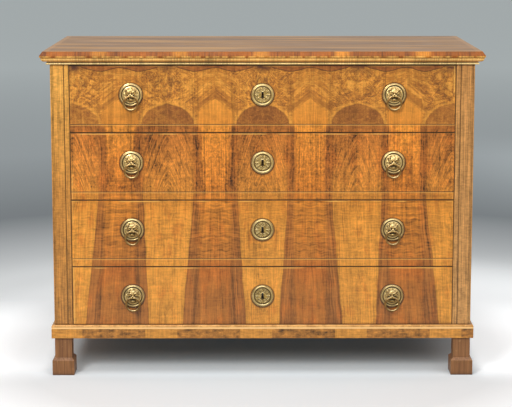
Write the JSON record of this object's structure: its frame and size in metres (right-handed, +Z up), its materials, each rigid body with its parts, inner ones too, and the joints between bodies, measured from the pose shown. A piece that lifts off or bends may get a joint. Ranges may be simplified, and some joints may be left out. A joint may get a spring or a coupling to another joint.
{
  "type": "commode",
  "caption": "Chest of long drawers in figured walnut veneer on block feet, with a moulded top edge, round brass lion-mask ring pulls and keyhole plates.",
  "frame": {"origin": "on the floor under the middle of the top board", "axes": "+X to the right seen from the front, the front faces -Y, +Z up"},
  "size_m": [1.2, 0.57, 0.9],
  "materials": {
    "top_veneer": "polished walnut veneer",
    "cornice_veneer": "polished cross-grain walnut veneer",
    "front_veneer": "polished figured walnut veneer",
    "stile_veneer": "polished straight-grain walnut",
    "side_veneer": "polished straight-grain walnut veneer",
    "plinth_veneer": "polished cross-grain walnut veneer",
    "foot_wood": "worn stained wood",
    "inner_wood": "bare pine",
    "brass": "aged cast brass",
    "iron": "dark wrought iron"
  },
  "bodies": {
    "carcass": {"top_board": "top_veneer", "cornice": "cornice_veneer", "side_panel_left": "side_veneer", "side_panel_right": "side_veneer", "stile_left": "stile_veneer", "stile_right": "stile_veneer", "back_boards": "inner_wood", "top_rails": "inner_wood", "drawer_rails": "front_veneer", "drawer_runners": "inner_wood", "drawer_guides": "inner_wood", "drawer_stops": "inner_wood", "bottom_board": "inner_wood", "base_frame": "plinth_veneer", "corner_blocks": "inner_wood", "feet": "foot_wood"},
    "drawer_1": {"drawer_1_front": "front_veneer", "drawer_1_sides": "inner_wood", "drawer_1_back": "inner_wood", "drawer_1_bottom": "inner_wood", "drawer_1_pull_plates": "brass", "drawer_1_pull_nuts": "iron", "drawer_1_escutcheon": "brass", "drawer_1_lock_case": "iron"},
    "drawer_1_lock_bolt": {"drawer_1_lock_bolt": "iron"},
    "drawer_1_ring_left": {"drawer_1_ring_left": "brass"},
    "drawer_1_ring_right": {"drawer_1_ring_right": "brass"},
    "drawer_2": {"drawer_2_front": "front_veneer", "drawer_2_sides": "inner_wood", "drawer_2_back": "inner_wood", "drawer_2_bottom": "inner_wood", "drawer_2_pull_plates": "brass", "drawer_2_pull_nuts": "iron", "drawer_2_escutcheon": "brass", "drawer_2_lock_case": "iron"},
    "drawer_2_lock_bolt": {"drawer_2_lock_bolt": "iron"},
    "drawer_2_ring_left": {"drawer_2_ring_left": "brass"},
    "drawer_2_ring_right": {"drawer_2_ring_right": "brass"},
    "drawer_3": {"drawer_3_front": "front_veneer", "drawer_3_sides": "inner_wood", "drawer_3_back": "inner_wood", "drawer_3_bottom": "inner_wood", "drawer_3_pull_plates": "brass", "drawer_3_pull_nuts": "iron", "drawer_3_escutcheon": "brass", "drawer_3_lock_case": "iron"},
    "drawer_3_lock_bolt": {"drawer_3_lock_bolt": "iron"},
    "drawer_3_ring_left": {"drawer_3_ring_left": "brass"},
    "drawer_3_ring_right": {"drawer_3_ring_right": "brass"},
    "drawer_4": {"drawer_4_front": "front_veneer", "drawer_4_sides": "inner_wood", "drawer_4_back": "inner_wood", "drawer_4_bottom": "inner_wood", "drawer_4_pull_plates": "brass", "drawer_4_pull_nuts": "iron", "drawer_4_escutcheon": "brass", "drawer_4_lock_case": "iron"},
    "drawer_4_lock_bolt": {"drawer_4_lock_bolt": "iron"},
    "drawer_4_ring_left": {"drawer_4_ring_left": "brass"},
    "drawer_4_ring_right": {"drawer_4_ring_right": "brass"}
  },
  "joints": [
    {"name": "drawer_1_slide", "type": "slide", "parent": "carcass", "child": "drawer_1", "axis": [0, -1, 0], "range_m": [0, 0.4]},
    {"name": "drawer_1_lock_bolt_slide", "type": "slide", "parent": "drawer_1", "child": "drawer_1_lock_bolt", "axis": [0, 0, 1], "range_m": [0, 0.009]},
    {"name": "drawer_1_ring_left_hinge", "type": "hinge", "parent": "drawer_1", "child": "drawer_1_ring_left", "pos_m": [-0.357, -0.27, 0.7779], "axis": [-1, 0, 0], "range_deg": [0, 110]},
    {"name": "drawer_1_ring_right_hinge", "type": "hinge", "parent": "drawer_1", "child": "drawer_1_ring_right", "pos_m": [0.357, -0.27, 0.7779], "axis": [-1, 0, 0], "range_deg": [0, 110]},
    {"name": "drawer_2_slide", "type": "slide", "parent": "carcass", "child": "drawer_2", "axis": [0, -1, 0], "range_m": [0, 0.4]},
    {"name": "drawer_2_lock_bolt_slide", "type": "slide", "parent": "drawer_2", "child": "drawer_2_lock_bolt", "axis": [0, 0, 1], "range_m": [0, 0.009]},
    {"name": "drawer_2_ring_left_hinge", "type": "hinge", "parent": "drawer_2", "child": "drawer_2_ring_left", "pos_m": [-0.357, -0.27, 0.5919], "axis": [-1, 0, 0], "range_deg": [0, 110]},
    {"name": "drawer_2_ring_right_hinge", "type": "hinge", "parent": "drawer_2", "child": "drawer_2_ring_right", "pos_m": [0.357, -0.27, 0.5919], "axis": [-1, 0, 0], "range_deg": [0, 110]},
    {"name": "drawer_3_slide", "type": "slide", "parent": "carcass", "child": "drawer_3", "axis": [0, -1, 0], "range_m": [0, 0.4]},
    {"name": "drawer_3_lock_bolt_slide", "type": "slide", "parent": "drawer_3", "child": "drawer_3_lock_bolt", "axis": [0, 0, 1], "range_m": [0, 0.009]},
    {"name": "drawer_3_ring_left_hinge", "type": "hinge", "parent": "drawer_3", "child": "drawer_3_ring_left", "pos_m": [-0.357, -0.27, 0.4059], "axis": [-1, 0, 0], "range_deg": [0, 110]},
    {"name": "drawer_3_ring_right_hinge", "type": "hinge", "parent": "drawer_3", "child": "drawer_3_ring_right", "pos_m": [0.357, -0.27, 0.4059], "axis": [-1, 0, 0], "range_deg": [0, 110]},
    {"name": "drawer_4_slide", "type": "slide", "parent": "carcass", "child": "drawer_4", "axis": [0, -1, 0], "range_m": [0, 0.4]},
    {"name": "drawer_4_lock_bolt_slide", "type": "slide", "parent": "drawer_4", "child": "drawer_4_lock_bolt", "axis": [0, 0, 1], "range_m": [0, 0.009]},
    {"name": "drawer_4_ring_left_hinge", "type": "hinge", "parent": "drawer_4", "child": "drawer_4_ring_left", "pos_m": [-0.357, -0.27, 0.2199], "axis": [-1, 0, 0], "range_deg": [0, 110]},
    {"name": "drawer_4_ring_right_hinge", "type": "hinge", "parent": "drawer_4", "child": "drawer_4_ring_right", "pos_m": [0.357, -0.27, 0.2199], "axis": [-1, 0, 0], "range_deg": [0, 110]}
  ]
}
